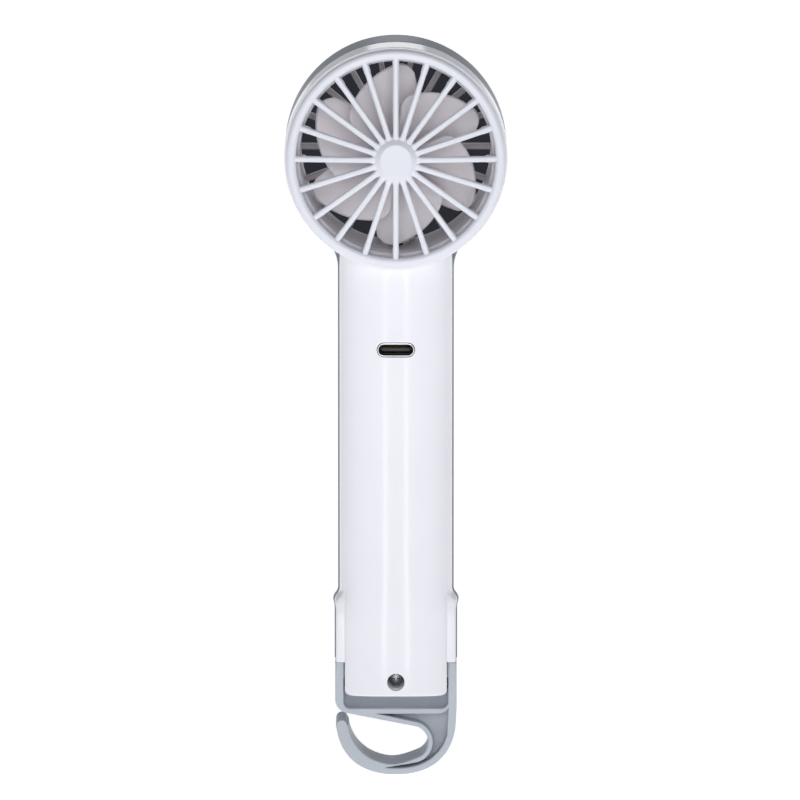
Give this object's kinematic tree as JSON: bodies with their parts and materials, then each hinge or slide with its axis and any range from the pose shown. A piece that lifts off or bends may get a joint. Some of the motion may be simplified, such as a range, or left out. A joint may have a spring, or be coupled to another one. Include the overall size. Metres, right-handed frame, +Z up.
{
  "type": "handheld electric fan",
  "caption": "Slim handheld fan with a ducted round head, radial intake grille, oval handle with a charging port, and a fold-back hanging hook under the handle.",
  "frame": {"origin": "under the middle of the fan, on the plane that touches the bottom of the hook", "axes": "+Z up the handle to the head, +Y the way the air leaves, -Y the intake side with the charging port"},
  "size_m": [0.0538, 0.036, 0.1783],
  "materials": {
    "grille_white": "smooth moulded ABS",
    "shell_white": "high-gloss moulded ABS",
    "shell_slate": "satin moulded ABS",
    "duct_grey": "plain moulded ABS",
    "impeller_white": "fine matt moulded plastic",
    "hook_grey": "satin moulded nylon",
    "button_white": "satin moulded ABS",
    "black_plastic": "glass-filled nylon",
    "steel": "zinc-plated steel",
    "polished_steel": "polished stainless steel",
    "core_steel": "stacked steel laminations",
    "bearing_bronze": "sintered bronze",
    "enamelled_copper": "enamelled copper winding",
    "magnet_black": "nickel-free sintered magnet",
    "board_green": "solder mask on fibreglass",
    "lens_clear": "clear moulded acrylic",
    "cell_wrap": "foil pouch in film",
    "foam_black": "closed-cell foam",
    "wire_red": "silicone insulation",
    "wire_dark": "silicone insulation"
  },
  "bodies": {
    "fan_body": {"rear_grille": "grille_white", "rear_shell": "shell_white", "front_shell": "shell_slate", "duct_liner": "duct_grey", "motor_frame": "duct_grey", "motor_cap": "shell_slate", "motor_can": "steel", "motor_end_plate": "steel", "rear_bearing": "bearing_bronze", "front_bearing": "bearing_bronze", "motor_stator_core": "core_steel", "motor_windings": "enamelled_copper", "circuit_board": "board_green", "usb_c_shell": "polished_steel", "usb_c_tongue": "black_plastic", "tact_switch": "black_plastic", "indicator_lens": "lens_clear", "battery_cell": "cell_wrap", "battery_pad_rear": "foam_black", "battery_pad_front": "foam_black", "motor_wire_red": "wire_red", "motor_wire_black": "wire_dark", "battery_lead_red": "wire_red", "battery_lead_black": "wire_dark", "handle_screw": "steel", "hook_pin_left": "polished_steel", "hook_pin_right": "polished_steel"},
    "rotor": {"impeller": "impeller_white", "motor_shaft": "polished_steel", "rotor_magnet": "magnet_black"},
    "button": {"power_button": "button_white", "switch_plunger": "black_plastic"},
    "hook_body": {"hook": "hook_grey"}
  },
  "joints": [
    {"name": "impeller_spin", "type": "hinge", "parent": "fan_body", "child": "rotor", "pos_m": [0, -0.0068, 0.1514], "axis": [0, 1, 0], "continuous": true},
    {"name": "power_press", "type": "slide", "parent": "fan_body", "child": "button", "axis": [0, -1, 0], "range_m": [0, 0.0005], "stiffness_N_per_m": 400},
    {"name": "hook_fold", "type": "hinge", "parent": "fan_body", "child": "hook_body", "pos_m": [0, -0.0055, 0.023], "axis": [-1, 0, 0], "range_deg": [0, 90]}
  ]
}
